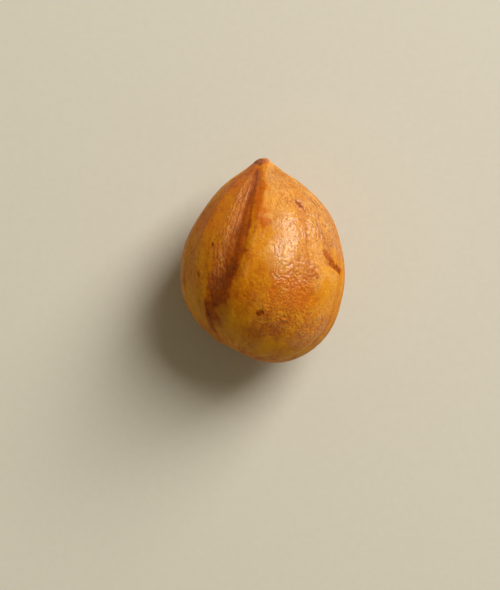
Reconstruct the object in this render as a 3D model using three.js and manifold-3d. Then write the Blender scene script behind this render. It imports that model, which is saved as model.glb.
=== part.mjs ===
// A shelled, roasted hazelnut kernel lying on its side: one solid, as it grew.
// Millimetres, +Z up, the pointed tip towards +Y. The origin is on the surface that the kernel
// rests on, under the middle of its box.
import * as THREE from "three";
import { mergeVertices } from "three/addons/utils/BufferGeometryUtils.js";
import Module from "manifold-3d";

// The kernel's size
const LENGTH = 17.6; // from the round base to the tip
const HALF_WIDTH = 7.05; // at the widest station
const WIDEST_AT = 7.5; // how far the widest station is from the base
const DEPTH_SHARE = 0.95; // its height is this share of its width
const FLAT_CUT = 0.26; // how much of the belly the resting spot takes off

// The outline's handles: a round base, a full flank, then a cone with a small nub on it
const BASE_REACH = 2.5; // how far the base stays flat out from the axis
const BASE_LIFT = 5.0; // how far below the widest station the side turns upright
const FLANK_RISE = 5.15; // how far above it the side stays upright
const NECK_RADIUS = 2.3; // where the flank becomes the cone
const NECK_DROP = 1.55; // the neck's distance below the tip
const NECK_SLOPE = 0.558; // the cone's angle off the level there, in radians
const NECK_LEAD = 1.2; // handle below the neck
const CONE_RUN = 1.75; // handle above the neck
const NUB_REACH = 0.6; // handle at the tip: half the nub's width

// The axis bends: the base leans to the right, and the shoulder a little
const BASE_LEAN = 1.12;
const LEAN_END = 5.6; // the lean has gone this far from the base
const LEAN_POWER = 1.4;
const SHOULDER_LEAN = 0.21;
const SHOULDER_FROM = 9.8;
const SHOULDER_TO = 16.2;

// The scar, where the kernel's fibres gather at the base, is off to the left of the base's middle
const SCAR = new THREE.Vector3(-2.23, 0.94, 0);
const TIP = new THREE.Vector3(0, LENGTH, 0);
const HEART_SHARE = 0.45; // the heart is this far from the scar to the tip
const SCAR_RADIUS = 1.15;
const SCAR_DEPTH = 0.12;
const SCAR_RIM = 0.06; // the height of the swelling around it
const SCAR_RIM_AT = 1.5; // the rim's radius, in scar radii
const SCAR_RIM_WIDTH = 0.4;

// Furrows run from the tip to the scar. Each one's longitude is given in degrees near the tip,
// at the middle and near the scar: 0 is the right side, 90 the top, 180 the left side.
const FURROWS = [
  { course: [99, 105.5, 124], half: 11, depth: 0.24 },
  { course: [46, 49.5, 66], half: 8, depth: 0.1 },
  { course: [155, 150, 150], half: 9, depth: 0.11 },
  { course: [19, 18, 19], half: 6, depth: 0.08 },
  { course: [-24, -29, -22], half: 9, depth: 0.14 },
  { course: [-66, -72, -60], half: 8, depth: 0.1 },
  { course: [-112, -106, -95], half: 10, depth: 0.18 },
  { course: [-150, -146, -152], half: 8, depth: 0.12 },
];
const SHOULDER_AT = 1.35; // a furrow's raised lips, in half-widths from its middle
const SHOULDER_WIDTH = 0.4;
const SHOULDER_SHARE = 0.2; // their height as a share of the furrow's depth
const COURSE_SPAN = 70; // degrees from the middle to the first and last longitudes
const FADE_AT_TIP = 2.0; // furrows grow shallow this near to the axis
const FADE_AT_SCAR = 4.2;

// Low swellings between the furrows
const LOBES = [
  { count: 2, height: 0.07 },
  { count: 3, height: 0.05 },
];

// The mesh's fineness
const LONGITUDES = 90;
const BASE_STEPS = 18;
const FLANK_STEPS = 15;
const CONE_STEPS = 11;
const WELD = 1e-4; // points closer than this are one

const wasm = await Module();
wasm.setup();

const bell = (x) => Math.exp(-x * x);

// The outline as (radius, distance from the base), from the base's middle up to the tip.
function outline() {
  const at = (radius, y) => new THREE.Vector2(radius, y);
  const neck = at(NECK_RADIUS, LENGTH - NECK_DROP);
  const lean = at(-Math.cos(NECK_SLOPE), Math.sin(NECK_SLOPE));
  const base = new THREE.CubicBezierCurve(
    at(0, 0),
    at(BASE_REACH, 0),
    at(HALF_WIDTH, WIDEST_AT - BASE_LIFT),
    at(HALF_WIDTH, WIDEST_AT),
  );
  const flank = new THREE.CubicBezierCurve(
    at(HALF_WIDTH, WIDEST_AT),
    at(HALF_WIDTH, WIDEST_AT + FLANK_RISE),
    neck.clone().addScaledVector(lean, -NECK_LEAD),
    neck,
  );
  const cone = new THREE.CubicBezierCurve(
    neck,
    neck.clone().addScaledVector(lean, CONE_RUN),
    at(NUB_REACH, LENGTH),
    at(0, LENGTH),
  );
  const points = base.getPoints(BASE_STEPS);
  points.push(...flank.getPoints(FLANK_STEPS).slice(1));
  points.push(...cone.getPoints(CONE_STEPS).slice(1));
  points[0].x = 0;
  points[points.length - 1].x = 0;
  return points;
}

// How far the axis stands to the right at a distance y from the base.
function axisOffset(y) {
  const low = Math.max(1 - y / LEAN_END, 0);
  const span = THREE.MathUtils.clamp((y - SHOULDER_FROM) / (SHOULDER_TO - SHOULDER_FROM), 0, 1);
  return BASE_LEAN * low ** LEAN_POWER + SHOULDER_LEAN * Math.sin(Math.PI * span) ** 2;
}

// The relief of one furrow: a trough with a raised lip on each side.
function furrowRelief({ course, half, depth }, longitude, fromMiddle) {
  const [first, middle, last] = course;
  const centre = middle + ((last - first) / 2) * fromMiddle
    + ((first + last) / 2 - middle) * fromMiddle ** 2;
  const turned = THREE.MathUtils.euclideanModulo(longitude - centre + 180, 360) - 180;
  const off = Math.abs(turned) / half;
  return depth * (SHOULDER_SHARE * bell((off - SHOULDER_AT) / SHOULDER_WIDTH) - bell(off));
}

// How far the skin stands out at a point, given from the heart as lengths along the kernel,
// to its right and up.
function relief(along, right, up) {
  const radius = Math.hypot(right, up);
  const longitude = THREE.MathUtils.radToDeg(Math.atan2(up, right));
  const colatitude = THREE.MathUtils.radToDeg(Math.atan2(radius, along));
  const fromMiddle = THREE.MathUtils.clamp((colatitude - 90) / COURSE_SPAN, -1, 1);
  const fadeRadius = THREE.MathUtils.lerp(FADE_AT_TIP, FADE_AT_SCAR, colatitude / 180);
  const fade = 1 - bell(radius / fadeRadius);
  let out = 0;
  for (const furrow of FURROWS) out += fade * furrowRelief(furrow, longitude, fromMiddle);
  for (const { count, height } of LOBES) {
    out += fade * height * Math.sin(count * THREE.MathUtils.degToRad(longitude));
  }
  if (along < 0) {
    out += SCAR_RIM * bell((radius - SCAR_RADIUS * SCAR_RIM_AT) / SCAR_RIM_WIDTH);
    out -= SCAR_DEPTH * bell(radius / SCAR_RADIUS);
  }
  return out;
}

// The whole kernel before the resting spot is cut: a turned body, bent, flattened and furrowed.
function kernelBody() {
  const geometry = new THREE.LatheGeometry(outline(), LONGITUDES);
  const place = geometry.getAttribute("position");
  const forward = TIP.clone().sub(SCAR).normalize();
  const sideways = new THREE.Vector3(forward.y, -forward.x, 0);
  const heart = SCAR.clone().lerp(TIP, HEART_SHARE);
  const point = new THREE.Vector3();
  const arm = new THREE.Vector3();
  for (let i = 0; i < place.count; i++) {
    point.fromBufferAttribute(place, i);
    point.x += axisOffset(point.y);
    point.z *= DEPTH_SHARE;
    arm.copy(point).sub(heart);
    const out = relief(arm.dot(forward), arm.dot(sideways), arm.z);
    point.addScaledVector(arm.normalize(), out);
    place.setXYZ(i, point.x, point.y, point.z);
  }
  return geometry;
}

// A closed geometry as a solid: shared vertices are merged, and triangles that have shrunk to
// a line at the two ends of the turned body are dropped.
function solidOf(geometry) {
  geometry.deleteAttribute("normal");
  geometry.deleteAttribute("uv");
  const merged = mergeVertices(geometry, WELD);
  const index = merged.index.array;
  const kept = [];
  for (let i = 0; i < index.length; i += 3) {
    const [a, b, c] = index.slice(i, i + 3);
    if (a !== b && b !== c && c !== a) kept.push(a, b, c);
  }
  const vertProperties = merged.attributes.position.array;
  return new wasm.Manifold(
    new wasm.Mesh({ numProp: 3, vertProperties, triVerts: new Uint32Array(kept) }),
  );
}

// A solid back as a geometry.
function geometryOf(solid) {
  const mesh = solid.getMesh();
  const geometry = new THREE.BufferGeometry();
  geometry.setAttribute("position", new THREE.BufferAttribute(mesh.vertProperties, 3));
  geometry.setIndex(new THREE.BufferAttribute(mesh.triVerts, 1));
  return geometry;
}

// The kernel with its resting spot, standing on z = 0 with the middle of its box over the origin.
function restingKernel() {
  const body = kernelBody();
  body.computeBoundingBox();
  const { min, max } = body.boundingBox;
  const rest = min.z + FLAT_CUT;
  const slab = new THREE.BoxGeometry(4 * HALF_WIDTH, 2 * LENGTH, 2 * FLAT_CUT);
  slab.translate(0, LENGTH / 2, rest - FLAT_CUT);
  const cut = geometryOf(solidOf(body).subtract(solidOf(slab)));
  cut.translate(-(min.x + max.x) / 2, -(min.y + max.y) / 2, -rest);
  cut.computeVertexNormals();
  return cut;
}

const roastedSkin = new THREE.MeshStandardMaterial({
  color: new THREE.Color(0xc8801f),
  roughness: 0.45,
  metalness: 0,
});

const kernel = new THREE.Mesh(restingKernel(), roastedSkin);
kernel.name = "hazelnut_kernel";

const hazelnut = new THREE.Group();
hazelnut.name = "hazelnut";
hazelnut.add(kernel);

export default hazelnut;
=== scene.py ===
# %% [markdown]
# # A roasted hazelnut kernel
#
# A shelled hazelnut is one grown thing, so this lesson makes one mesh. Its charm is all in the
# skin: long furrows that run from the pointed tip to the scar at the base, oily wrinkles between
# them, and a colour that goes from golden amber to dark toast.
#
# The solid model of the kernel is loaded first. It fixes the size, the place and the broad shape;
# everything after this cell is about making that shape look grown and roasted.

# %% Load the solid model
from math import cos, pi, radians, sin

import bpy
import numpy as np
from mathutils import Euler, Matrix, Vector
from mathutils.bvhtree import BVHTree


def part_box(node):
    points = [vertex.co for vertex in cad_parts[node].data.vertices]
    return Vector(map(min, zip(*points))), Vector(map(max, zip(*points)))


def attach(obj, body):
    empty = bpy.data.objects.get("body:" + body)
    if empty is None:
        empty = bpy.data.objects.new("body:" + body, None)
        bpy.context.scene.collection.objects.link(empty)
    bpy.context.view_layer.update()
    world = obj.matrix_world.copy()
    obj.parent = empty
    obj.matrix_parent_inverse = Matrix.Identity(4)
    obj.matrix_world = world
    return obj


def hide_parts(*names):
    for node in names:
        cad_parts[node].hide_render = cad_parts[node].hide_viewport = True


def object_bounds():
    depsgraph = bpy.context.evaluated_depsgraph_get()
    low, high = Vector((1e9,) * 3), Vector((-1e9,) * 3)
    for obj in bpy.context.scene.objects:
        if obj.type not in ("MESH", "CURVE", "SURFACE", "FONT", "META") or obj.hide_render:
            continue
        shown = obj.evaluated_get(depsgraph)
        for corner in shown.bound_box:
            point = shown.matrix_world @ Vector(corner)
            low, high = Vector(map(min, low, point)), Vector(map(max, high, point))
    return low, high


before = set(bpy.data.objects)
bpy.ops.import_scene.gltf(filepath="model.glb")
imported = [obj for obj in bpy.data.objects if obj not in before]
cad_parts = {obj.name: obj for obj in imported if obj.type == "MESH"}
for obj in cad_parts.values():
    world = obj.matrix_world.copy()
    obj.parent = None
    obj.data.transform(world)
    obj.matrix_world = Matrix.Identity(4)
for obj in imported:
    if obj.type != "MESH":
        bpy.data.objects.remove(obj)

MM = 0.001
cad_low, cad_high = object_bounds()
kernel_low, kernel_high = (Vector(corner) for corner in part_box("hazelnut_kernel"))
size = (kernel_high - kernel_low) / MM
print("solid model, mm:", [round(side, 2) for side in size])

# %% [markdown]
# ## The turned body
#
# The broad shape could be sculpted, or grown from a subdivided ball. A turned outline is better
# here: the kernel is nearly round about its long axis, and three smooth curves, for the round
# base, the full flank and the cone at the tip, give its outline exactly. The outline is turned
# into a fine grid of points, with even steps along it, so that later cells can move every point
# of the skin on its own. The axis of the grid bends a little, because the base leans to the right.

# %% The outline, base to tip, in millimetres
LENGTH = size.y
HALF_WIDTH = size.x / 2
DEPTH_SHARE = 0.95  # the height of the kernel as a share of its width
WIDEST_AT = 7.5  # from the base
BASE_REACH = 2.5  # how far the base stays flat out from the axis
BASE_LIFT = 5.0  # how far below the widest place the side turns upright
FLANK_RISE = 5.15  # how far above it the side stays upright
NECK = np.array([2.3, LENGTH - 1.55])  # where the flank becomes the cone
NECK_SLOPE = 0.558  # the cone's angle off the level there, in radians
NECK_LEAD = 1.2  # the curve's handle below the neck
CONE_RUN = 1.75  # and the one above it
NUB_REACH = 0.6  # the handle at the tip, which makes it blunt


def curve(start, lead, tail, end, steps=300):
    """Points along one smooth Bezier piece."""
    t = np.linspace(0, 1, steps)[:, None]
    start, lead, tail, end = (np.array(p, float) for p in (start, lead, tail, end))
    return (1 - t) ** 3 * start + 3 * (1 - t) ** 2 * t * lead + 3 * (1 - t) * t**2 * tail + t**3 * end


def outline(rings):
    """The kernel's outline as (radius, distance from the base), in even steps."""
    slope = np.array([-cos(NECK_SLOPE), sin(NECK_SLOPE)])
    widest = np.array([HALF_WIDTH, WIDEST_AT])
    base = curve((0, 0), (BASE_REACH, 0), widest - (0, BASE_LIFT), widest)
    flank = curve(widest, widest + (0, FLANK_RISE), NECK - NECK_LEAD * slope, NECK)
    cone = curve(NECK, NECK + CONE_RUN * slope, (NUB_REACH, LENGTH), (0, LENGTH))
    points = np.vstack([base, flank[1:], cone[1:]])
    run = np.concatenate([[0], np.cumsum(np.linalg.norm(np.diff(points, axis=0), axis=1))])
    even = np.linspace(0, run[-1], rings)
    return np.column_stack([np.interp(even, run, points[:, k]) for k in (0, 1)])


print("outline, mm: base", WIDEST_AT, "high, flank and cone", round(LENGTH - WIDEST_AT, 2))

# %% How the axis bends
BASE_LEAN = 1.12
LEAN_END = 5.6  # the lean has gone this far from the base
LEAN_POWER = 1.4
SHOULDER_LEAN = 0.21
SHOULDER_FROM, SHOULDER_TO = 9.8, 16.2


def axis_offset(y):
    """How far the bent axis stands to the right, at a distance y from the base."""
    low = np.clip(1 - y / LEAN_END, 0, 1)
    span = np.clip((y - SHOULDER_FROM) / (SHOULDER_TO - SHOULDER_FROM), 0, 1)
    return BASE_LEAN * low**LEAN_POWER + SHOULDER_LEAN * np.sin(pi * span) ** 2


print("the base leans", BASE_LEAN, "mm to the right, the shoulder", SHOULDER_LEAN)

# %% Turn the outline into a grid of points
AROUND = 800
RINGS = 450

profile = outline(RINGS)[1:-1]
angle = np.arange(AROUND) * 2 * pi / AROUND
radius, station = profile[:, :1], profile[:, 1:]
grid = np.stack([
    radius * np.cos(angle) + axis_offset(station),
    np.broadcast_to(station, (len(profile), AROUND)),
    radius * np.sin(angle) * DEPTH_SHARE,
], axis=2)
base_point = np.array([[axis_offset(0.0), 0.0, 0.0]])
tip_point = np.array([[0.0, LENGTH, 0.0]])
body = np.vstack([base_point, grid.reshape(-1, 3), tip_point])
print("skin points:", len(body), "- steps of about",
      round(2 * pi * HALF_WIDTH / AROUND, 3), "mm around")

# %% [markdown]
# ## The nut's own map
#
# Everything on a hazelnut skin follows its veins, and the veins run like lines of longitude from
# the tip to the scar. The scar is not at the middle of the base, so the map's axis is not the
# axis that the outline was turned about. Each point gets a longitude, called turn (0 on the right
# side, 90 on top, 180 on the left), and an angle down from the tip, called fall (0 at the tip,
# 180 at the scar). Furrows, streaks and spots are then placed on this map, as on a globe.

# %% Longitude and fall for every point
SCAR = np.array([-2.23, 0.94, 0.0])
HEART_SHARE = 0.45  # the heart is this far from the scar to the tip

chord = tip_point[0] - SCAR
heart = SCAR + HEART_SHARE * chord
forward = chord / np.linalg.norm(chord)
sideways = np.array([forward[1], -forward[0], 0.0])
arm = body - heart
reach = np.linalg.norm(arm, axis=1)
outward = arm / reach[:, None]
along, right, up = arm @ forward, arm @ sideways, arm[:, 2]
girth = np.hypot(right, up)
turn = np.degrees(np.arctan2(up, right))
fall = np.degrees(np.arctan2(girth, along))
print("skin from the heart, mm:", round(float(reach.min()), 2), "to", round(float(reach.max()), 2))

# %% Shapes of edges, and lines on the map


def bell(x):
    """1 in the middle, falling smoothly to 0 about two units away."""
    return np.exp(-x * x)


def ease(low, high, x):
    """0 below low, 1 above high, and a smooth ramp between."""
    t = np.clip((x - low) / (high - low), 0, 1)
    return t * t * (3 - 2 * t)


def window(first, last, soft, x):
    """1 between first and last, fading over soft on both sides."""
    return ease(first - soft, first + soft, x) * (1 - ease(last - soft, last + soft, x))


def swing(angle_from, angle_to):
    """The turn from one longitude to another, between -180 and 180."""
    return (angle_to - angle_from + 180) % 360 - 180


COURSE_SPAN = 70  # degrees of fall from the middle to a course's first and last longitudes


def course(first, middle, last):
    """A line's longitude all along, from those near the tip, at the middle and near the scar."""
    down = np.clip((fall - 90) / COURSE_SPAN, -1, 1)
    return middle + (last - first) / 2 * down + ((first + last) / 2 - middle) * down**2


print("a course has its ends at falls of", 90 - COURSE_SPAN, "and", 90 + COURSE_SPAN, "degrees")

# %% [markdown]
# ## Natural unevenness
#
# Grown surfaces are uneven at every scale. Blender has noise textures for this, but a texture
# only changes the shading, and these wrinkles should catch the light and show at the edge. So a
# small noise function is written here and used to move points: it mixes random slopes on the
# corners of a unit lattice. The random numbers come from a fixed seed, so each run grows the
# same nut.

# %% A seeded noise, about -1 to 1
dice = np.random.default_rng(41)
SLOPES = dice.normal(size=(256, 3))
SLOPES /= np.linalg.norm(SLOPES, axis=1)[:, None]
SHUFFLE = dice.permutation(256)
TO_UNIT = 1.7  # brings the noise's highest hills to about 1


def noise(points, shift=0.0):
    """Smooth noise at each row of points; another shift gives another pattern."""
    points = points + shift * np.array([12.7, 31.3, 7.9])
    cell = np.floor(points).astype(int)
    part = points - cell
    blend = part**3 * (part * (part * 6 - 15) + 10)
    total = np.zeros(len(points))
    for corner in np.ndindex(2, 2, 2):
        x, y, z = ((cell + corner) & 255).T
        slope = SLOPES[SHUFFLE[(SHUFFLE[(SHUFFLE[x] + y) & 255] + z) & 255]]
        weight = np.prod(np.where(corner, blend, 1 - blend), axis=1)
        total += weight * ((part - corner) * slope).sum(axis=1)
    return TO_UNIT * total


def veined(across, lengthwise):
    """Noise coordinates that follow the veins, in features per millimetre at the waist."""
    lap = HALF_WIDTH * across
    return np.column_stack([
        lap * np.cos(np.radians(turn)),
        lap * np.sin(np.radians(turn)),
        reach.mean() * lengthwise * np.radians(fall),
    ])


print("noise on the skin, spread:", round(float(noise(body, 1).std()), 2))

# %% Let the veins wander
wander = 1.6 * noise(veined(0.35, 0.25), 1) + 0.7 * noise(veined(1.0, 0.5), 2)
line = turn + wander * ease(0, 3, girth)
print("veins wander by up to", round(float(np.abs(wander).max()), 1), "degrees")

# %% [markdown]
# ## Furrows and lobes
#
# The flesh swells between the veins, so the skin dips into furrows along them. One furrow on the
# top is long, deep and dark; the others are shallow. Each is a trough with a small lip on either
# side, and it fades out where the veins crowd together. Low swellings between the furrows keep
# the kernel from being a perfect ball. These are the shapes that the solid model has too, so the
# skin stays on it.

# %% The broad relief
FURROWS = [
    # longitudes near the tip, at the middle and near the scar, half-width, depth
    ((99, 105.5, 124), 11, 0.24),
    ((46, 49.5, 66), 8, 0.10),
    ((155, 150, 150), 9, 0.11),
    ((19, 18, 19), 6, 0.08),
    ((-24, -29, -22), 9, 0.14),
    ((-66, -72, -60), 8, 0.10),
    ((-112, -106, -95), 10, 0.18),
    ((-150, -146, -152), 8, 0.12),
]
LIP_AT, LIP_WIDTH, LIP_SHARE = 1.35, 0.4, 0.2  # a furrow's lips, in half-widths and depths
FADE_AT_TIP, FADE_AT_SCAR = 2.0, 4.2  # furrows grow shallow this near to the axis
LOBES = [(2, 0.07), (3, 0.05)]  # how many go round, and how high
SCAR_RADIUS = 1.15
SCAR_DEPTH = 0.12
SCAR_RIM, SCAR_RIM_AT, SCAR_RIM_WIDTH = 0.06, 1.5 * SCAR_RADIUS, 0.4

fade = 1 - bell(girth / (FADE_AT_TIP + (FADE_AT_SCAR - FADE_AT_TIP) * fall / 180))
broad = np.zeros(len(body))
for places, half, depth in FURROWS:
    off = np.abs(swing(course(*places), turn)) / half
    broad += fade * depth * (LIP_SHARE * bell((off - LIP_AT) / LIP_WIDTH) - bell(off))
for count, height in LOBES:
    broad += fade * height * np.sin(count * np.radians(turn))
at_base = along < 0
rim = SCAR_RIM * bell((girth - SCAR_RIM_AT) / SCAR_RIM_WIDTH)
broad += at_base * (rim - SCAR_DEPTH * bell(girth / SCAR_RADIUS))
print("broad relief, mm:", round(float(broad.min()), 3), "to", round(float(broad.max()), 3))

# %% [markdown]
# ## Where each kind of skin is
#
# The skin is not the same all over. Beside the long furrow it is drawn into fine folds, on the
# right it is wrinkled and oily, lower down there is a blistered patch, and the left lobe is
# smooth. Each kind is a mask on the nut's map, from 0 to 1. The sides that face away get patches
# of the same kinds, partly from slow noise, so that the nut is as varied there.

# %% Patches and bands with ragged edges


def raggedness(shift):
    """How many degrees the edge of a patch strays, large bends and small ones together."""
    bends = 5 * noise(body * 0.45, shift)
    return bends + 5 * noise(body * 1.1, shift + 0.5) + 2.5 * noise(body * 2.4, shift)


turn_stray, fall_stray = raggedness(3), raggedness(4)
patch_line, patch_fall = line + turn_stray, fall + fall_stray


def patch(turn_from, turn_to, fall_from, fall_to, soft=7):
    """A patch of skin with ragged, soft edges."""
    across = window(turn_from, turn_to, soft, patch_line)
    return across * window(fall_from, fall_to, soft, patch_fall)


def spread(places, half, fall_from, fall_to, soft=8):
    """A slightly ragged band of skin that follows a vein."""
    across = bell(swing(course(*places), line + 0.35 * turn_stray) / half)
    return across * window(fall_from, fall_to, soft, patch_fall)


def strongest(*masks):
    """The highest of several masks at every point."""
    return np.max(masks, axis=0)


print("edges stray by up to", round(float(np.abs(turn_stray).max()), 1), "degrees")

# %% Masks for the kinds of skin
slow = noise(body * 0.22, 5)
wrinkled = strongest(
    np.full(len(body), 0.20),
    patch(37, 77, 4, 102, 9),
    patch(8, 46, 4, 80, 10),
    0.5 * patch(16, 90, 80, 140, 16),
    0.4 * patch(60, 100, 40, 110, 14),
    0.5 * spread((112, 114, 118), 12, 20, 112, 12),
    ease(0.0, 0.4, slow) * patch(-172, 2, 30, 135, 12),
)
blistered = strongest(
    patch(41, 67, 90, 112, 9),
    0.8 * patch(24, 78, 108, 134, 11),
    0.6 * bell(swing(-58, line) / 13) * bell((fall - 104) / 13),
)
folded = strongest(
    spread((110, 114, 120), 9, 16, 114, 12),
    patch(10, 42, 12, 72, 9),
    0.7 * bell(swing(course(-112, -106, -95), line) / 13),
    0.5 * (1 - ease(16, 42, fall)),
)
print("wrinkled share of the skin:", round(float(wrinkled.mean()), 2))

# %% [markdown]
# ## Wrinkles, folds and blisters
#
# A roasted skin shrinks and loosens, and puckers into small soft cells with sharp creases between
# them. Taking the size of a noise without its sign makes just that: round hills, with a crease
# wherever the noise crosses zero. Stretched along the veins it gives folds; used evenly in every
# direction, blisters. The noise is bent by a slower noise first, and its lattice is turned askew,
# so that no crease is straight or runs square to the veins.

# %% Cells, swirls, blisters and folds
sway = np.column_stack([noise(body * 0.9, shift) for shift in (6, 7, 8)])


def pucker(points, shift):
    """Soft cells from 0 at their creases to about 1."""
    return np.clip(np.abs(noise(points, shift)) * 2.0, 0, 1) ** 0.75


twist = np.array(Euler((0.6, 0.5, 0.9)).to_matrix())
cells = pucker((veined(2.7, 1.8) + 1.3 * sway) @ twist, 9)
small_cells = pucker((veined(4.8, 3.6) + 1.7 * sway) @ twist, 10)
swirls = 0.5 + 0.5 * np.sin(2 * pi * 4.5 * noise((veined(0.75, 0.5) + 0.6 * sway) @ twist, 28))
blisters = pucker(body * 3.3 + 1.7 * sway, 11)
folds = pucker(veined(3.4, 0.9) + 0.7 * sway, 12)
threads = noise(veined(2.4, 0.5) + 0.6 * sway, 13)
grain = noise(body * 3.6, 14)
puckers = 0.48 * cells + 0.34 * small_cells + 0.18 * swirls
print("puckers, mean:", round(float(puckers.mean()), 2))

# %% The fine relief
quiet = ease(0.2, 2.2, girth)
wrinkled = wrinkled * np.clip(0.85 + 0.5 * noise(body * 0.8, 29), 0, 1)
puffs = noise(body * 0.85, 31)
MID = 0.55  # the usual height of a soft cell, which stays level with the skin around it
fine = quiet * (
    0.045 * wrinkled * puffs
    + 0.060 * wrinkled * (puckers - MID)
    + 0.074 * blistered * (blisters - MID)
    + 0.052 * folded * (folds - MID)
    + 0.012 * threads
    + 0.012 * grain
)
print("fine relief, mm:", round(float(fine.min()), 3), "to", round(float(fine.max()), 3))

# %% [markdown]
# ## The long furrow's edges
#
# A furrow in dried skin isn't a soft valley all the way. Its right wall is steep and throws a
# dark line, and its left shoulder is a raised lip that glints. Thin ridges and lines follow the
# veins near both edges of the nut. Each is broken along its length, and the ones that line the
# long furrow are a row of beads. Later the colour adds painted shade in the grooves and painted
# highlight on the ridges.

# %% Crisp lines along the veins
breaks = noise(veined(0.9, 0.45), 30)
beads = 0.3 + 1.1 * blisters


def vein_line(places, half, height, first, last, soft=6):
    """A narrow ridge, or a groove if its height is below 0, along a vein."""
    broken = height * np.clip(0.75 + 0.9 * breaks, 0, 1.2)
    return broken * bell(swing(course(*places), line) / half) * window(first, last, soft, fall)


lines = [
    # beside the long furrow
    vein_line((98, 96, 112), 1.8, -0.06, 10, 104, 8),
    vein_line((112, 114, 131), 3.4, 0.05, 18, 92, 8) * beads,
    vein_line((100, 104, 118), 1.4, -0.04, 14, 84),
    vein_line((105, 107.5, 121), 1.2, 0.035, 22, 70),
    vein_line((126, 129.5, 143), 2.2, -0.05, 108, 150),
    vein_line((77, 91.5, 96), 1.6, 0.05, 32, 98, 6) * beads,
    # the right side
    vein_line((45, 49, 62), 2.0, -0.015, 44, 92, 10),
    vein_line((40, 40, 44), 4.0, 0.02, 40, 96, 10),
    vein_line((60, 58, 60), 4.0, 0.02, 40, 92, 10),
    vein_line((19, 18.5, 21), 1.1, -0.035, 84, 150),
    vein_line((15, 13.5, 17), 1.3, 0.04, 70, 150),
    vein_line((9, 7, 9), 1.2, -0.05, 50, 140),
    vein_line((34, 37, 40), 1.6, 0.06, 30, 64),
    vein_line((27, 30, 36), 1.6, 0.06, 22, 66),
    vein_line((20, 24, 30), 1.4, 0.05, 30, 76),
    # the left lobe
    vein_line((155, 156, 158), 1.6, -0.035, 96, 126, 10),
    vein_line((168, 167, 166), 2.2, -0.03, 40, 140, 14),
    vein_line((146, 147, 152), 2.6, -0.03, 20, 70, 12),
    # the hidden side
    vein_line((-24, -29, -22), 2.0, -0.08, 24, 150),
    vein_line((-66, -72, -60), 1.6, -0.05, 30, 140),
    vein_line((-108, -101, -92), 2.4, -0.10, 16, 120),
    vein_line((-124, -119, -104), 3.0, 0.05, 22, 110),
    vein_line((-150, -146, -152), 1.6, -0.05, 30, 150),
    vein_line((-10, -9, -12), 1.3, -0.04, 40, 150),
    vein_line((-44, -50, -44), 1.2, 0.03, 30, 140),
    vein_line((-88, -86, -80), 1.2, -0.035, 50, 150),
]
veins = quiet * np.sum(lines, axis=0)
print("vein lines:", len(lines))

# %% [markdown]
# ## Marks, nub and scar
#
# A few marks make this kernel one of a kind: a scratch on the right, a small sunken spot, two
# pinpricks on the left lobe and a dark blister low down. The tip ends in a small rough nub with a
# crease under it, and at the other end the veins meet in a rough round scar.

# %% Measure from a mark


def place_of(at_turn, at_fall):
    """The skin point at a place on the nut's map."""
    return body[np.argmin(swing(at_turn, turn) ** 2 + (fall - at_fall) ** 2)]


def distance_to(start, end):
    """How far every skin point is from the straight mark between two places."""
    start, end = place_of(*start), place_of(*end)
    mark = end - start
    share = np.clip((body - start) @ mark / max(mark @ mark, 1e-9), 0, 1)
    return np.linalg.norm(body - (start + share[:, None] * mark), axis=1)


from_tip = np.linalg.norm(body - tip_point[0], axis=1)
ragged = 1 + 0.4 * noise(body * 3.0, 15) + 0.35 * noise(body * 6.5, 32)
less_ragged = 0.5 + 0.5 * ragged
print("a mark's edge is", round(float(ragged.min()), 2), "to", round(float(ragged.max()), 2), "of its width")

# %% Scratch, sunken spot, pinpricks and dark blister
upper_stroke = distance_to((34.5, 77.5), (28, 84))
lower_stroke = distance_to((28, 84), (18, 87.2))
scratch_gap = np.minimum(upper_stroke, lower_stroke) / ragged
scratch = (1 - ease(0.16, 0.38, scratch_gap)) * (1 - 0.3 * ease(26, 33, turn))
scratch_lip = bell((scratch_gap - 0.46) / 0.13)

sunken_gap = distance_to((48.3, 42.2), (47.2, 44.4)) / less_ragged
sunken = 1 - ease(0.10, 0.26, sunken_gap)
sunken_edge = bell((sunken_gap - 0.22) / 0.07)
sunken_lip = bell((sunken_gap - 0.36) / 0.09)

pricks = bell(distance_to((124, 77.5), (123.5, 78.6)) / 0.12)
pricks += 0.8 * bell(distance_to((134.5, 103), (134, 105)) / 0.11)
blot = 1 - ease(0.12, 0.38, distance_to((76.4, 123.4), (75.2, 122.2)) / less_ragged)

hidden_spots = bell(distance_to((-40, 62), (-38, 66)) / 0.14)
hidden_spots += bell(distance_to((-128, 96), (-126, 97)) / (0.16 * ragged))
hidden_spots += bell(distance_to((-96, 52), (-92, 58)) / (0.13 * ragged))
print("the sunken spot lies", round(float(from_tip[sunken.argmax()]), 1), "mm from the tip")

# %% The nub at the tip and the scar at the base
NUB_RADIUS = 0.7
NUB_SOFTNESS = 0.15

nub_gap = from_tip + 0.12 * noise(body * 2.2, 16)
nub = 1 - ease(NUB_RADIUS - NUB_SOFTNESS, NUB_RADIUS + NUB_SOFTNESS, nub_gap)
collar = bell((nub_gap - 0.98) / 0.13) * ease(-0.3, 0.3, -right)

nub_stray = 0.10 * noise(body * 3.2, 34)
below_tip = along.max() - along
down, aside = below_tip + nub_stray, right + nub_stray
nub_dark = window(-0.75, 0.05, 0.1, aside) * window(0.08, 0.62, 0.1, down)
nub_grey = window(-0.5, 0.50, 0.1, aside) * (1 - ease(0.40, 0.65, down))
nub_bead = bell(np.hypot(right - 0.40, up) / 0.32)
nub_pit = bell(np.hypot(right + 0.02, up) / 0.25)

scarred = at_base * (1 - ease(0.8, 1.6, girth * (1 + 0.15 * noise(body * 1.1, 17))))
print("nub, mm across:", 2 * NUB_RADIUS)

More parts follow.
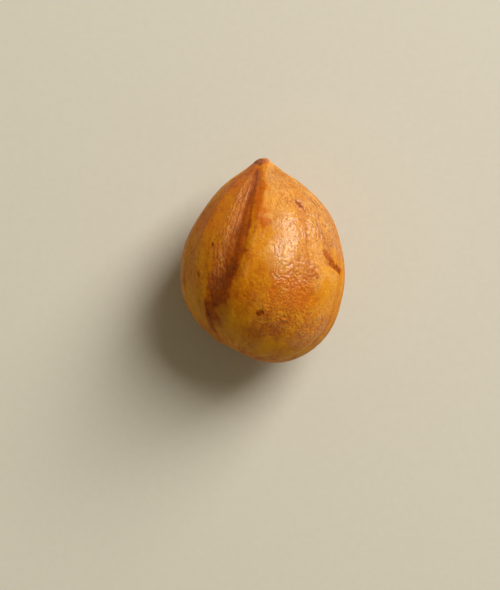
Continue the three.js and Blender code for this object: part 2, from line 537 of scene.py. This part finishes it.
# %% How far the marks stand out or sink in
marks = (
    scratch * (0.06 * grain - 0.08) + 0.02 * scratch_lip
    - 0.07 * sunken + 0.03 * sunken_lip
    - 0.05 * pricks - 0.01 * blot - 0.05 * hidden_spots
    + nub * (0.07 * nub_bead - 0.06 * nub_pit + 0.03 * noise(body * 3.0, 18)) - 0.04 * collar
    + scarred * (0.05 * noise(body * 2.2, 19) - 0.03 * pucker(body * 3.4, 20))
)
print("marks reach", round(float(marks.min()), 3), "mm deep")

# %% [markdown]
# ## Sit it on its flat spot
#
# The kernel rests on a small flat spot on its belly. The finished points are moved so that the
# middle of the box is over the origin, and the belly is pressed flat at the height where the
# solid model is cut. The edge of the spot is rounded a little, as real skin is.

# %% Move the points out and press the belly flat
FLAT_CUT = 0.26  # how much of the belly the resting spot takes off
SPOT_ROUNDING = 0.05

smooth_skin = body + outward * broad[:, None]
skin = body + outward * (broad + fine + veins + marks)[:, None]
low, high = smooth_skin.min(axis=0), smooth_skin.max(axis=0)
skin -= [(low[0] + high[0]) / 2, (low[1] + high[1]) / 2, low[2] + FLAT_CUT]
skin[:, 2] = (skin[:, 2] + np.sqrt(skin[:, 2] ** 2 + SPOT_ROUNDING**2)) / 2
skin[:, 2] -= skin[:, 2].min()
NEARLY_FLAT = 0.02
on_spot = skin[skin[:, 2] < NEARLY_FLAT]
print("flat spot, mm across:", np.ptp(on_spot[:, :2], axis=0).round(2))

# %% Join the points into one closed mesh


def ring_faces():
    """Four-cornered faces between the rings, and triangles that close the two ends."""
    here = np.arange(AROUND)
    there = (here + 1) % AROUND
    ring_starts = 1 + np.arange(len(profile) - 1)[:, None] * AROUND
    first, following = ring_starts + here, ring_starts + there
    quads = np.stack([first, first + AROUND, following + AROUND, following], axis=2).reshape(-1, 4)
    tip = len(body) - 1
    last_ring = 1 + (len(profile) - 1) * AROUND
    ends = [[0, 1 + a, 1 + b] for a, b in zip(here, there)]
    ends += [[last_ring + a, tip, last_ring + b] for a, b in zip(here, there)]
    return quads.tolist() + ends


mesh = bpy.data.meshes.new("hazelnut")
mesh.from_pydata((skin * MM).tolist(), [], ring_faces())
mesh.validate()
mesh.shade_smooth()
nut = bpy.data.objects.new("hazelnut", mesh)
bpy.context.scene.collection.objects.link(nut)
print("faces:", len(mesh.polygons))

# %% Measure it against the solid model
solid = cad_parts["hazelnut_kernel"]
corners = [solid.matrix_world @ corner.co for corner in solid.data.vertices]
solid_faces = BVHTree.FromPolygons(corners, [tuple(face.vertices) for face in solid.data.polygons])
EVERY = 97
gaps = [solid_faces.find_nearest(Vector(point * MM))[3] / MM for point in skin[::EVERY]]
print("from the solid model, mm: mean", round(float(np.mean(gaps)), 3), "most", round(max(gaps), 3))

# %% [markdown]
# ## Where the colour goes
#
# The colours of the skin belong to places: dark toast in the long furrow, orange beside it and in
# the blistered patch, rust along the vein on the right, a milky film on the wrinkles, pale streaks
# low down. Some of it is painted light: the film is also painted highlight on the tops of cells and
# blisters, on raised lines and where the lamp's highlight falls; the creases are darkened with
# painted shade; and the pale patches low down are partly painted light. Painting an image would
# do, but it would have a fixed sharpness. Instead each point of the mesh keeps a few numbers, and
# the material turns them into colour and gloss, with its own fine detail on top.

# %% How far the long furrow's brown reaches
left_edge = course(113, 121.5, 138)
right_edge = course(91, 95, 110)
left_softness = 8 - 5 * ease(90, 112, fall)
right_softness = 2.5 + 18 * ease(94, 116, fall)
furrow = ease(-0.4, 1, (left_edge - line - 0.3 * turn_stray) / left_softness)
furrow *= ease(-0.3, 1, (line + 0.4 * turn_stray - right_edge) / right_softness)
furrow *= (line > 60) & (line < 170)
furrow *= ease(4, 14, fall) * (1 - ease(136, 150, fall + 0.4 * fall_stray))
print("the furrow's share of the skin:", round(float(furrow.mean()), 3))

# %% Toast, the brown of the roast
toast = 0.16 + 0.06 * noise(body * 0.5, 21)
toast += (0.20 + 0.03 * ease(96, 112, fall)) * furrow
toast += 0.20 * spread((101, 95, 92), 5.5, 8, 48, 8)
toast += 0.22 * spread((105, 103, 116), 6, 48, 112, 12)
toast += 0.10 * furrow * spread((96, 99, 112), 3, 60, 110, 12)
toast += 0.09 * furrow * spread((96, 110, 131), 8, 98, 138, 12)
toast += 0.16 * spread((120, 128, 130), 5, 140, 156, 5)
smear = spread((91, 72, 52), 6, 8, 60, 6) * np.clip(1 + 0.9 * noise(body * 1.3, 36), 0, 1.3)
toast += 0.32 * smear
toast -= 0.08 * spread((106, 108, 112), 5, 20, 52, 6)
print("toast so far, mean:", round(float(toast.mean()), 2))

# %% Browned patches
browned = [
    # turn from, turn to, fall from, fall to, softness, share
    (104, 156, 4, 28, 12, 0.18),
    (100, 150, 3, 16, 6, 0.10),
    (75, 79, 56, 62, 3, 0.20),
    (134, 142, 26, 36, 6, 0.07),
    (149, 164, 40, 66, 8, 0.12),
    (152, 158, 86, 96, 5, 0.07),
    (153, 158, 102, 120, 4, 0.10),
    (80, 112, 102, 128, 14, 0.13),
    (50, 62, 110, 124, 6, 0.08),
    (58, 84, 122, 144, 9, 0.12),
    (94, 112, 138, 152, 5, 0.10),
    (30, 46, 126, 146, 8, 0.08),
    (116, 156, 24, 74, 14, 0.06),
    (66, 74, 112, 120, 3, 0.10),
    (0, 180, 156, 170, 8, 0.07),
]
for *where, share in browned:
    toast += share * patch(*where)
print("browned patches:", len(browned))

# %% Toast on the hidden side and in the marks
toast += 0.12 * ease(105, 140, fall) * at_base * ease(0, 30, np.abs(turn - 90) - 90)
hidden_furrows = [
    # longitudes near the tip, at the middle and near the scar, half-width, fall from, share
    ((-112, -106, -95), 10, 10, 0.45),
    ((-24, -29, -22), 7, 14, 0.28),
    ((-66, -72, -60), 7, 20, 0.22),
    ((-150, -146, -152), 7, 20, 0.22),
]
for places, half, fall_from, share in hidden_furrows:
    toast += share * bell(swing(course(*places), line) / half) * window(fall_from, 150, 12, fall)
toast += 0.12 * ease(104, 124, fall) * noise(veined(1.1, 0.45) + 0.6 * sway, 33)
toast += 0.32 * scratch + 0.42 * sunken + 0.25 * sunken_edge
toast += 0.45 * np.minimum(pricks, 1) + 0.48 * blot + 0.5 * hidden_spots
# The collar's share is painted shade in the crease under the nub.
toast += 0.40 * nub_dark + 0.26 * nub_grey + 0.12 * collar + 0.25 * scarred
toast += 0.25 * nub * noise(body * 2.4, 24)
toast = np.clip(toast, 0, 1)
print("toast, mean and most:", round(float(toast.mean()), 2), round(float(toast.max()), 2))

# %% Orange, rust, film with painted highlight, and pale with some painted light
orange = strongest(
    smear,
    patch(58, 73, 90, 112, 5),
    patch(40, 60, 86, 114, 6),
    0.5 * patch(64, 74, 108, 124, 4),
    0.3 * patch(20, 48, 104, 134, 12),
    0.4 * patch(118, 152, 20, 70, 10),
)
orange = np.clip(orange * (1 + 0.7 * noise(body * 1.6, 25)), 0, 1)

rust = strongest(
    0.5 * spread((51, 49, 47), 4, 44, 92, 8),
    0.5 * patch(28, 38, 73, 83, 4),
    0.4 * patch(14, 26, 56, 76, 6),
    0.35 * patch(102, 116, 18, 60, 6),
    0.35 * sunken,
    0.4 * scratch * ease(24, 31, turn),
    nub_grey,
    0.35 * nub_dark,
)
rust = np.clip(rust * (1 + 0.4 * noise(body * 1.4, 22)), 0, 1)

marked = strongest(scratch, sunken, np.minimum(pricks, 1), blot)
# Partly a milky film on the skin and partly painted highlight: the main patches lie where the lamp's broad
# highlight falls.
film_and_highlight = strongest(
    patch(58, 78, 12, 92, 7),
    0.6 * patch(44, 62, 8, 96, 7),
    patch(35, 45, 38, 98, 5),
    0.6 * patch(12, 42, 8, 76, 9),
    0.6 * patch(20, 38, 86, 97, 5),
    # A painted glint on the cone just right of the nub.
    0.7 * window(0.45, 1.1, 0.15, right) * (1 - ease(1.2, 2.0, below_tip)),
)
# Paler on the tops of the cells: painted highlight.
film_and_highlight *= (0.75 + 0.5 * puckers) * (1 + 0.3 * noise(body * 1.2, 26))
# Paler on the tops of the blisters and folds and along the raised vein lines: painted highlight.
film_and_highlight += (0.3 + 0.4 * ease(0.1, 0.6, puffs)) * blistered * blisters**2
film_and_highlight += 0.3 * folded * folds**2 * furrow + 0.5 * np.clip(veins / 0.05, 0, 1)
film_and_highlight = np.clip(film_and_highlight * (1 - marked), 0, 1)

streaked = ease(0.1, 0.5, noise(veined(0.5, 0.12), 23))
blotched = ease(0.15, 0.65, noise(body * 0.9, 37))
pale = strongest(
    # The four patches low down, towards the base, are partly paler skin and partly painted light on the
    # nut's shaded lower end.
    0.9 * patch(138, 164, 112, 142, 7),
    0.9 * patch(84, 112, 126, 156, 8),
    0.8 * patch(46, 66, 138, 158, 6),
    0.7 * patch(18, 36, 136, 152, 6),
    0.6 * patch(20, 38, 86, 97, 4),
    0.6 * patch(17, 36, 96, 112, 5),
    0.5 * patch(19, 28, 38, 60, 4),
    0.6 * scarred,
    0.6 * blotched * patch(18, 84, 96, 134, 8),
    0.5 * streaked * window(-170, 0, 6, line),
)
pale = pale * (1 - marked)
print("filmed share of the skin:", round(float(film_and_highlight.mean()), 2), "- pale:", round(float(pale.mean()), 2))

# %% Painted shade in the creases, and oil
# Darker where the cells, blisters and folds crease, in the vein grooves and in the collar under the nub:
# painted shade.
crease_shade = wrinkled * (0.6 * (1 - cells) ** 2 + 0.3 * (1 - small_cells) ** 2 + 0.4 * (1 - swirls) ** 3)
crease_shade += 0.4 * blistered * (1 - blisters) ** 2 + 0.8 * folded * (1 - folds) ** 2
crease_shade += 0.7 * np.clip(-veins / 0.08, 0, 1) + 0.8 * collar
crease_shade = np.clip(crease_shade * quiet, 0, 1)

oily = np.clip(wrinkled + blistered + 0.6 * folded, 0, 1) * (1 - 0.7 * marked)
print("oily share of the skin:", round(float(oily.mean()), 2))

# %% Keep the numbers on the mesh
kept = {
    "toast": toast,
    "orange": orange,
    "rust": rust,
    "film_and_highlight": film_and_highlight,
    "pale": pale,
    "crease_shade": crease_shade,
    "oily": oily,
}
for name, values in kept.items():
    layer = mesh.attributes.new(name, "FLOAT", "POINT")
    layer.data.foreach_set("value", values.astype(np.float32))

layer = mesh.attributes.new("vein_map", "FLOAT_VECTOR", "POINT")
layer.data.foreach_set("vector", veined(1.0, 1.0).astype(np.float32).ravel())
print("kept on each point:", ", ".join(kept), "and vein_map")

# %% [markdown]
# ## The skin's material
#
# The skin is thin, oily and slightly see-through, over pale flesh, so it takes a little
# subsurface light and a soft gloss. The colour starts from amber with mottling of three sizes.
# A ramp carries it through orange to dark brown as the toast number rises. Streaks along the veins
# come from a noise that is squeezed across them. Pale streaks, orange, the milky film with its
# painted highlight, rust and painted shade in the creases are laid over that as tints. The oil is a
# thin coat that is strongest where the skin is wrinkled. Pores and the finest creases, too small for
# the mesh, are a bump.

# %% Node helpers


class Nodes:
    """Adds nodes to one node tree and links them, in a line of code each."""

    def __init__(self, tree):
        self.tree = tree

    def add(self, kind, **settings):
        """A new node with some of its settings."""
        node = self.tree.nodes.new(kind)
        for name, value in settings.items():
            setattr(node, name, value)
        return node

    def set(self, node, name, value):
        """Link a socket to one of the node's inputs, or set the input to a plain value."""
        if isinstance(value, bpy.types.NodeSocket):
            self.tree.links.new(value, node.inputs[name])
        else:
            node.inputs[name].default_value = value

    def attribute(self, name):
        """Reads a number or a place that is kept on the mesh."""
        return self.add("ShaderNodeAttribute", attribute_name=name)

    def noise(self, vector, scale, detail, roughness):
        """Noise from 0 to 1, its scale in features per unit of the vector."""
        node = self.add("ShaderNodeTexNoise")
        self.set(node, "Vector", vector)
        self.set(node, "Scale", scale)
        self.set(node, "Detail", detail)
        self.set(node, "Roughness", roughness)
        return node.outputs["Fac"]

    def math(self, kind, a, b=0.0, clamp=False):
        """One sum with one or two values."""
        node = self.add("ShaderNodeMath", operation=kind, use_clamp=clamp)
        self.set(node, 0, a)
        self.set(node, 1, b)
        return node.outputs[0]

    def remap(self, value, low, high, to_low, to_high):
        """A value moved from the range low to high into another range."""
        node = self.add("ShaderNodeMapRange")
        self.set(node, "Value", value)
        self.set(node, "From Min", low)
        self.set(node, "From Max", high)
        self.set(node, "To Min", to_low)
        self.set(node, "To Max", to_high)
        return node.outputs["Result"]

    def mix(self, share, a, b):
        """Colour a with a share of colour b over it; a mix node has colours at inputs 6 and 7."""
        node = self.add("ShaderNodeMix", data_type="RGBA")
        self.set(node, 0, share)
        self.set(node, 6, a)
        self.set(node, 7, b)
        return node.outputs[2]

    def stretch(self, vector, scale):
        """A vector scaled by its own amount along each axis."""
        node = self.add("ShaderNodeVectorMath", operation="MULTIPLY")
        self.set(node, 0, vector)
        self.set(node, 1, scale)
        return node.outputs[0]

    def ramp(self, value, stops):
        """The colour at a value from 0 to 1 along a row of stops."""
        node = self.add("ShaderNodeValToRGB")
        self.set(node, 0, value)
        bar = node.color_ramp
        while len(bar.elements) < len(stops):
            bar.elements.new(0.5)
        for element, (place, colour) in zip(bar.elements, stops):
            element.position = place
            element.color = colour
        return node.outputs["Color"]


def shade(red, green, blue):
    """A colour as seen on a screen, 0 to 255, turned into the light it stands for."""
    def light(level):
        level /= 255
        return level / 12.92 if level <= 0.04045 else ((level + 0.055) / 1.055) ** 2.4
    return (light(red), light(green), light(blue), 1.0)


print("a screen grey of 128 stands for", round(shade(128, 128, 128)[0], 3), "of full light")

# %% Streaks, mottling and freckles
TO_MILLIMETRES = (1 / MM, 1 / MM, 1 / MM)

skin_material = bpy.data.materials.new("roasted_skin")
skin_material.use_nodes = True
paint = Nodes(skin_material.node_tree)
shader = skin_material.node_tree.nodes["Principled BSDF"]

millimetres = paint.stretch(paint.add("ShaderNodeTexCoord").outputs["Object"], TO_MILLIMETRES)
vein_map = paint.attribute("vein_map").outputs["Vector"]
streaks = paint.noise(paint.stretch(vein_map, (1.6, 1.6, 0.22)), 1.0, 3.0, 0.6)
fine_streaks = paint.noise(paint.stretch(vein_map, (4.5, 4.5, 0.6)), 1.0, 2.0, 0.5)
mottle = paint.noise(millimetres, 0.9, 3.0, 0.55)
speckle = paint.noise(millimetres, 4.5, 2.0, 0.6)
freckle = paint.noise(paint.stretch(millimetres, (1.0, 0.8, 1.0)), 2.1, 2.0, 0.55)
print("texture nodes:", len(skin_material.node_tree.nodes))

# %% The brown of the roast
ROAST = [
    (0.00, shade(234, 162, 22)),
    (0.15, shade(214, 136, 12)),
    (0.32, shade(192, 106, 6)),
    (0.52, shade(152, 70, 4)),
    (0.72, shade(110, 46, 4)),
    (1.00, shade(64, 22, 4)),
]
toasting = paint.attribute("toast").outputs["Fac"]
toasting = paint.math("ADD", toasting, paint.remap(streaks, 0.3, 0.7, -0.07, 0.09))
toasting = paint.math("ADD", toasting, paint.remap(mottle, 0.3, 0.7, -0.05, 0.06))
toasting = paint.math("ADD", toasting, paint.remap(freckle, 0.5, 0.72, -0.02, 0.12))
toasting = paint.math("ADD", toasting, paint.remap(speckle, 0.35, 0.75, -0.04, 0.06), clamp=True)
colour = paint.ramp(toasting, ROAST)
print("steps from amber to dark toast:", len(ROAST))

# %% Pale, orange, film with painted highlight, rust and painted crease shade over it
PALE_GOLD = shade(234, 166, 20)
BURNT_ORANGE = shade(210, 105, 2)
# The milky film's colour, which also serves as painted highlight.
MILKY_FILM_AND_HIGHLIGHT = shade(240, 180, 98)
RUST = shade(186, 108, 66)
# The brown of the painted shade in the creases.
PAINTED_CREASE_SHADE = shade(146, 66, 8)


def tinted(under, name, tint, share):
    """The colour so far with a tint over it, where the mesh's number of that name says so."""
    amount = paint.math("MULTIPLY", paint.attribute(name).outputs["Fac"], share)
    return paint.mix(amount, under, tint)


# The pale tint, which is partly painted light on the lower end.
colour = tinted(colour, "pale", PALE_GOLD, paint.remap(streaks, 0.3, 0.65, 0.3, 0.9))
colour = tinted(colour, "orange", BURNT_ORANGE, paint.remap(speckle, 0.3, 0.65, 0.45, 0.95))
# The milky film, partly painted highlight on the tops of cells, blisters and ridges and in the highlight's
# place.
colour = tinted(colour, "film_and_highlight", MILKY_FILM_AND_HIGHLIGHT, paint.remap(mottle, 0.3, 0.7, 0.3, 0.7))
colour = tinted(colour, "rust", RUST, paint.remap(fine_streaks, 0.3, 0.7, 0.35, 0.75))
# Painted shade in the creases.
colour = tinted(colour, "crease_shade", PAINTED_CREASE_SHADE, 0.75)
paint.set(shader, "Base Color", colour)
print("nodes so far:", len(skin_material.node_tree.nodes))

# %% Oil, gloss and the light inside the skin
oiliness = paint.attribute("oily").outputs["Fac"]
gloss = paint.remap(oiliness, 0.2, 1.0, 0.50, 0.40)
gloss = paint.math("ADD", gloss, paint.remap(speckle, 0.3, 0.7, -0.05, 0.06))
paint.set(shader, "Roughness", gloss)
paint.set(shader, "Coat Weight", paint.remap(oiliness, 0.2, 1.0, 0.0, 0.8))
paint.set(shader, "Coat Roughness", 0.25)
paint.set(shader, "Coat IOR", 1.45)
paint.set(shader, "Specular IOR Level", 0.14)
paint.set(shader, "IOR", 1.46)

LIGHT_REACH = 0.9 * MM
paint.set(shader, "Subsurface Weight", 0.22)
paint.set(shader, "Subsurface Radius", (1.0, 0.42, 0.12))
paint.set(shader, "Subsurface Scale", LIGHT_REACH)
print("light goes", round(LIGHT_REACH / MM, 2), "mm into the skin")

# %% Pores and worm-like creases, as fine bump
BUMP_HEIGHT = 0.03 * MM
pores = paint.noise(millimetres, 7.0, 2.0, 0.6)
worms = paint.math("ABSOLUTE", paint.math("SUBTRACT", paint.noise(millimetres, 5.2, 1.0, 0.5), 0.5))
worms = paint.math("MULTIPLY", worms, paint.remap(oiliness, 0.2, 1.0, 1.0, 2.5))
bump = paint.add("ShaderNodeBump")
paint.set(bump, "Strength", 0.7)
paint.set(bump, "Distance", BUMP_HEIGHT)
paint.set(bump, "Height", paint.math("ADD", pores, worms))
paint.set(shader, "Normal", bump.outputs["Normal"])
print("skin nodes:", len(skin_material.node_tree.nodes))

# %% Give the nut its skin and its place on the solid model
mesh.materials.append(skin_material)
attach(nut, "root")
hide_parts("hazelnut_kernel")
print(nut.name, "replaces the solid model's hazelnut_kernel")

# %% [markdown]
# ## Table, light and camera
#
# The nut lies on a plain pale sheet. One tall soft lamp, like a window, stands to the upper right
# and gives the broad highlight and the shadow to the lower left. A weak warm light from all round
# fills the rest, and the camera sees a pale backdrop in its place. The camera looks straight down
# from far away with a long lens, which keeps the shape true.

# %% The sheet it lies on
FLOOR_HALF = 0.7  # metres from its middle to each side
floor_corners = [(FLOOR_HALF * x, FLOOR_HALF * y, 0) for x, y in ((-1, -1), (1, -1), (1, 1), (-1, 1))]
floor_mesh = bpy.data.meshes.new("sheet_floor")
floor_mesh.from_pydata(floor_corners, [], [(0, 1, 2, 3)])
floor = bpy.data.objects.new("sheet_floor", floor_mesh)
bpy.context.scene.collection.objects.link(floor)

floor_material = bpy.data.materials.new("pale_sheet")
floor_material.use_nodes = True
sheet = Nodes(floor_material.node_tree)
floor_shader = floor_material.node_tree.nodes["Principled BSDF"]
floor_place = sheet.stretch(sheet.add("ShaderNodeTexCoord").outputs["Object"], TO_MILLIMETRES)
fibres = sheet.noise(floor_place, 1.6, 4.0, 0.65)
sheet.set(floor_shader, "Base Color", sheet.mix(fibres, shade(208, 204, 190), shade(216, 212, 200)))
sheet.set(floor_shader, "Roughness", 0.85)
floor_mesh.materials.append(floor_material)
print("the sheet is", 2 * FLOOR_HALF, "m square")

# %% The window-like lamp
middle = (cad_low + cad_high) / 2


def soft_lamp(name, azimuth, elevation, distance, width, height, power, colour):
    """A rectangular lamp that faces the nut, its azimuth counted from +X towards +Y."""
    lamp = bpy.data.lights.new(name, "AREA")
    lamp.shape = "RECTANGLE"
    lamp.size = width
    lamp.size_y = height
    lamp.energy = power
    lamp.color = colour
    holder = bpy.data.objects.new(name, lamp)
    a, e = radians(azimuth), radians(elevation)
    direction = Vector((cos(e) * cos(a), cos(e) * sin(a), sin(e)))
    holder.location = middle + direction * distance
    holder.rotation_euler = direction.to_track_quat("Z", "Y").to_euler()
    bpy.context.scene.collection.objects.link(holder)
    print(name, "stands at", [round(side, 2) for side in holder.location], "m")


soft_lamp(
    "window_lamp",
    azimuth=45,
    elevation=42,
    distance=0.5,
    width=0.25,
    height=0.38,
    power=3.2,
    colour=(1.0, 0.965, 0.90),
)

# %% The fill, and the backdrop that the camera sees in its place
FILL_STRENGTH = 0.19
FILL_COLOUR = (1.0, 0.87, 0.58, 1.0)
BACKDROP_COLOUR = shade(188, 184, 172)

world = bpy.data.worlds.new("studio")
world.use_nodes = True
fill = Nodes(world.node_tree)
even_light = world.node_tree.nodes["Background"]
seen = fill.add("ShaderNodeLightPath").outputs["Is Camera Ray"]
fill.set(even_light, "Color", fill.mix(seen, FILL_COLOUR, BACKDROP_COLOUR))
fill.set(even_light, "Strength", fill.remap(seen, 0.0, 1.0, FILL_STRENGTH, 1.0))
bpy.context.scene.world = world
print("the fill is", FILL_STRENGTH, "as bright as the backdrop")

# %% The camera, straight above
LENS = 200
SENSOR = 36
VIEW_HEIGHT = 50.65 * MM  # from the view's lower edge to its upper one, at the nut's middle
BESIDE_MIDDLE = Vector((-1.09, -2.98, 0)) * MM

camera_data = bpy.data.cameras.new("camera")
camera_data.lens = LENS
camera_data.sensor_width = SENSOR
camera = bpy.data.objects.new("camera", camera_data)
camera.location = middle + BESIDE_MIDDLE + Vector((0, 0, VIEW_HEIGHT * LENS / SENSOR))
bpy.context.scene.collection.objects.link(camera)
bpy.context.scene.camera = camera
bpy.context.scene.view_settings.view_transform = "Standard"
print("camera", round(camera.location.z / MM), "mm above the sheet")
